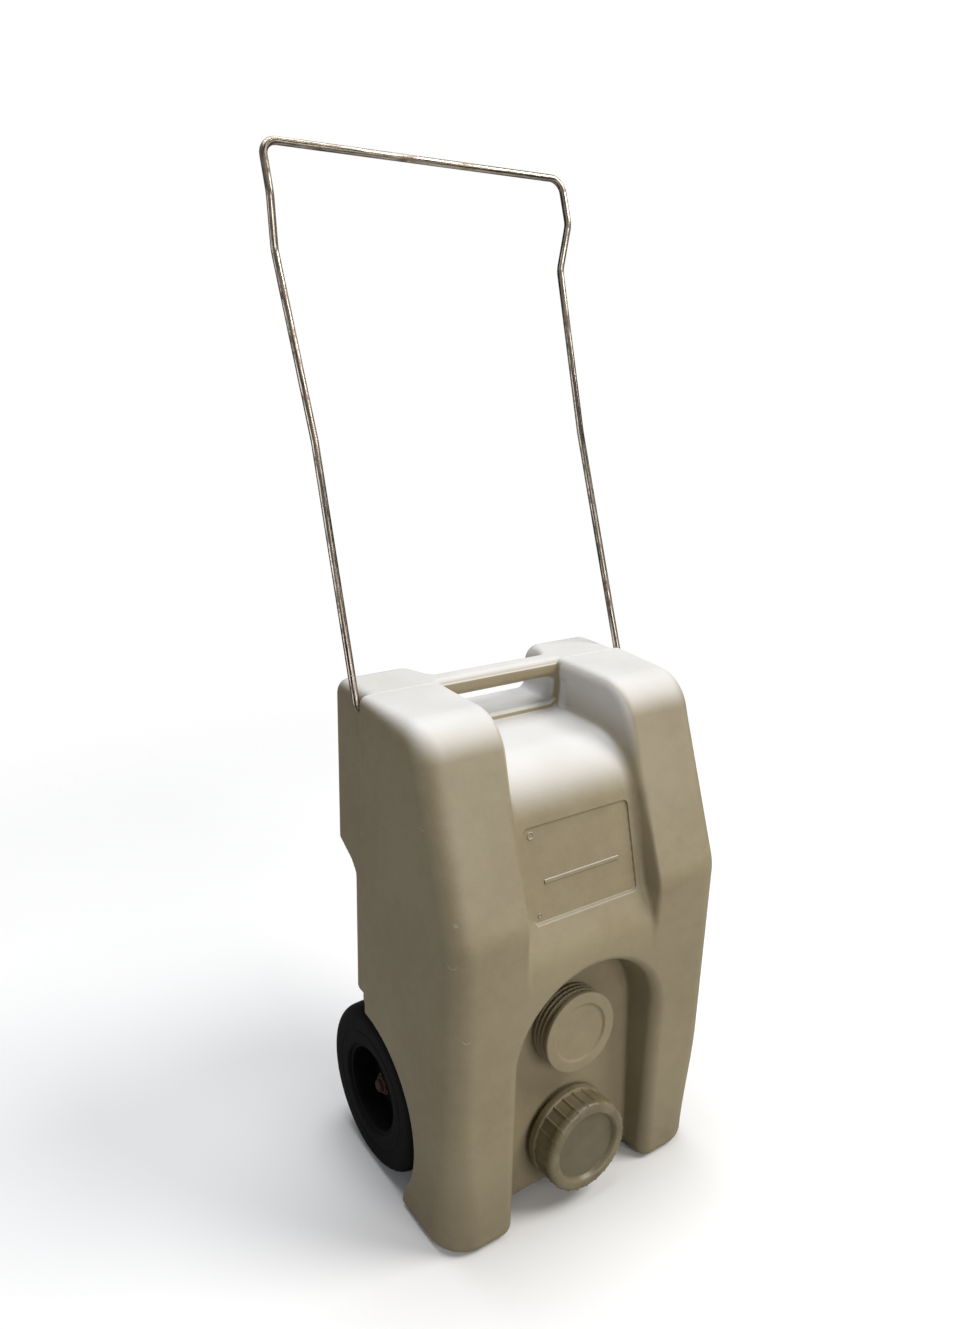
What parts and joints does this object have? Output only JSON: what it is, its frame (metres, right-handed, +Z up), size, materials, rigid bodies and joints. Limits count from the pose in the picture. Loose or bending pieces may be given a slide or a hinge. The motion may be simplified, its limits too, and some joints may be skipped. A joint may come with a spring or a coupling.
{
  "type": "wheeled water bowser",
  "caption": "Upright moulded water tank on wheels, with a swinging wire pull handle, a moulded carry grip, a screw-capped filler neck low at the front and a blank neck above it.",
  "frame": {"origin": "on the ground, in the middle of the part's own box", "axes": "+Z up, -Y towards the front with the filler neck, +X to the right of a person who faces the front"},
  "size_m": [0.356, 0.3493, 1.0383],
  "materials": {
    "tank_plastic": "matt blow-moulded polyethylene",
    "cap_plastic": "waxy, slightly translucent polyethylene",
    "seal_rubber": "matt rubber",
    "plated_wire": "dull nickel plate with tarnish",
    "axle_steel": "lightly rusted bar",
    "wheel_plastic": "matt black moulding",
    "tyre_rubber": "matt black, worn on the tread",
    "washer_steel": "dull zinc plate",
    "rusty_steel": "red-brown rust"
  },
  "bodies": {
    "tank": {"tank": "tank_plastic", "axle": "axle_steel", "inner_washer_left": "washer_steel", "inner_washer_right": "washer_steel", "outer_washer_left": "washer_steel", "outer_washer_right": "washer_steel", "push_cap_left": "rusty_steel", "push_cap_right": "rusty_steel"},
    "seal": {"cap_seal": "seal_rubber"},
    "cap": {"screw_cap": "cap_plastic"},
    "handle": {"handle_wire": "plated_wire"},
    "wheel_left": {"rim_left": "wheel_plastic", "tyre_left": "tyre_rubber"},
    "wheel_right": {"rim_right": "wheel_plastic", "tyre_right": "tyre_rubber"}
  },
  "joints": [
    {"name": "handle_fold", "type": "hinge", "parent": "tank", "child": "handle", "pos_m": [0, 0.01431, 0.5255], "axis": [-1, 0, 0], "range_deg": [-17, 147]},
    {"name": "wheel_left_spin", "type": "hinge", "parent": "tank", "child": "wheel_left", "pos_m": [-0.14, 0.00431, 0.0905], "axis": [1, 0, 0], "continuous": true},
    {"name": "wheel_right_spin", "type": "hinge", "parent": "tank", "child": "wheel_right", "pos_m": [0.14, 0.00431, 0.0905], "axis": [1, 0, 0], "continuous": true},
    {"name": "cap_lift", "type": "slide", "parent": "tank", "child": "seal", "axis": [0, -0.9981, 0.061], "range_m": [0, 0.0151]},
    {"name": "cap_turn", "type": "hinge", "parent": "seal", "child": "cap", "pos_m": [0, -0.13001, 0.06724], "axis": [0, -0.9981, 0.061], "range_deg": [0, 900]}
  ],
  "couplings": [
    {"joint": "cap_lift", "follows": "cap_turn", "m_per_rad": 0.00095493}
  ]
}
